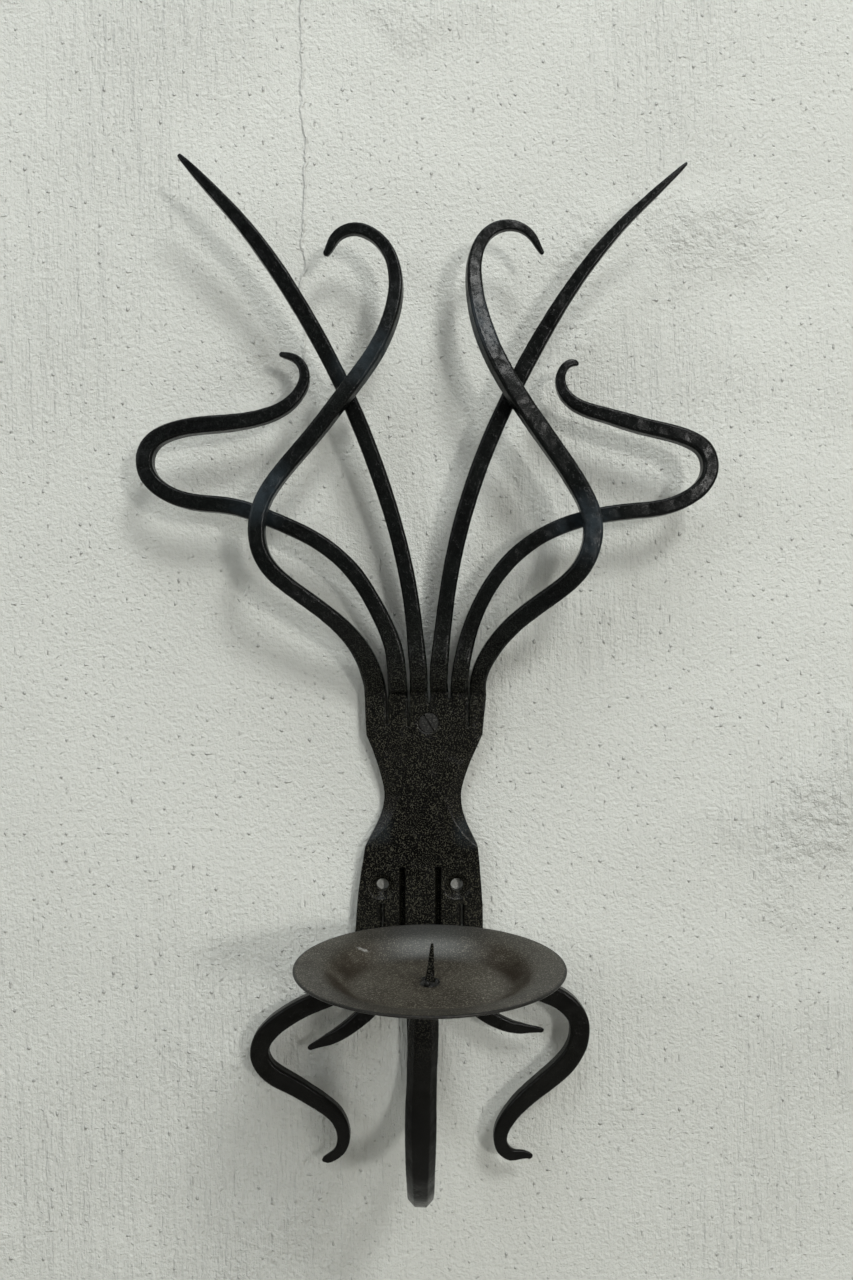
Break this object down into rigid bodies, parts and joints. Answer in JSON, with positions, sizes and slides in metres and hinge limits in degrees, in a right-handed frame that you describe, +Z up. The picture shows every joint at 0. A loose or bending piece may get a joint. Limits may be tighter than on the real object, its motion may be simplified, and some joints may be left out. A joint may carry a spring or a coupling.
{
  "type": "wall sconce candle holder",
  "caption": "Forged iron wall sconce: slit and necked bar with curling tines and tendrils, a U-shaped arm and a round drip pan with a candle spike.",
  "frame": {"origin": "on the wall plane (the bar's flat back), midway between the two lower screw holes", "axes": "+Z up, -Y out of the wall towards the room, +X to the right as seen from the room"},
  "size_m": [0.2749, 0.1755, 0.4807],
  "materials": {
    "forged_iron": "hand-hammered wrought iron, oil-blackened and waxed, dull sheen",
    "pan_iron": "hammered sheet, blackened and worn to a brownish grey, satin",
    "weld_bead": "dark fused bead, slightly glossy",
    "screw_black": "black-oxide steel, satin"
  },
  "bodies": {
    "root": {"wall_plate": "forged_iron", "left_s_tine": "forged_iron", "left_hook_tine": "forged_iron", "left_spike_tine": "forged_iron", "right_spike_tine": "forged_iron", "right_hook_tine": "forged_iron", "right_s_tine": "forged_iron", "outer_left_tendril": "forged_iron", "inner_left_tendril": "forged_iron", "inner_right_tendril": "forged_iron", "outer_right_tendril": "forged_iron", "candle_arm": "forged_iron", "drip_pan": "pan_iron", "pricket_spike": "pan_iron", "pricket_weld": "weld_bead", "wall_screw": "screw_black"}
  },
  "joints": []
}
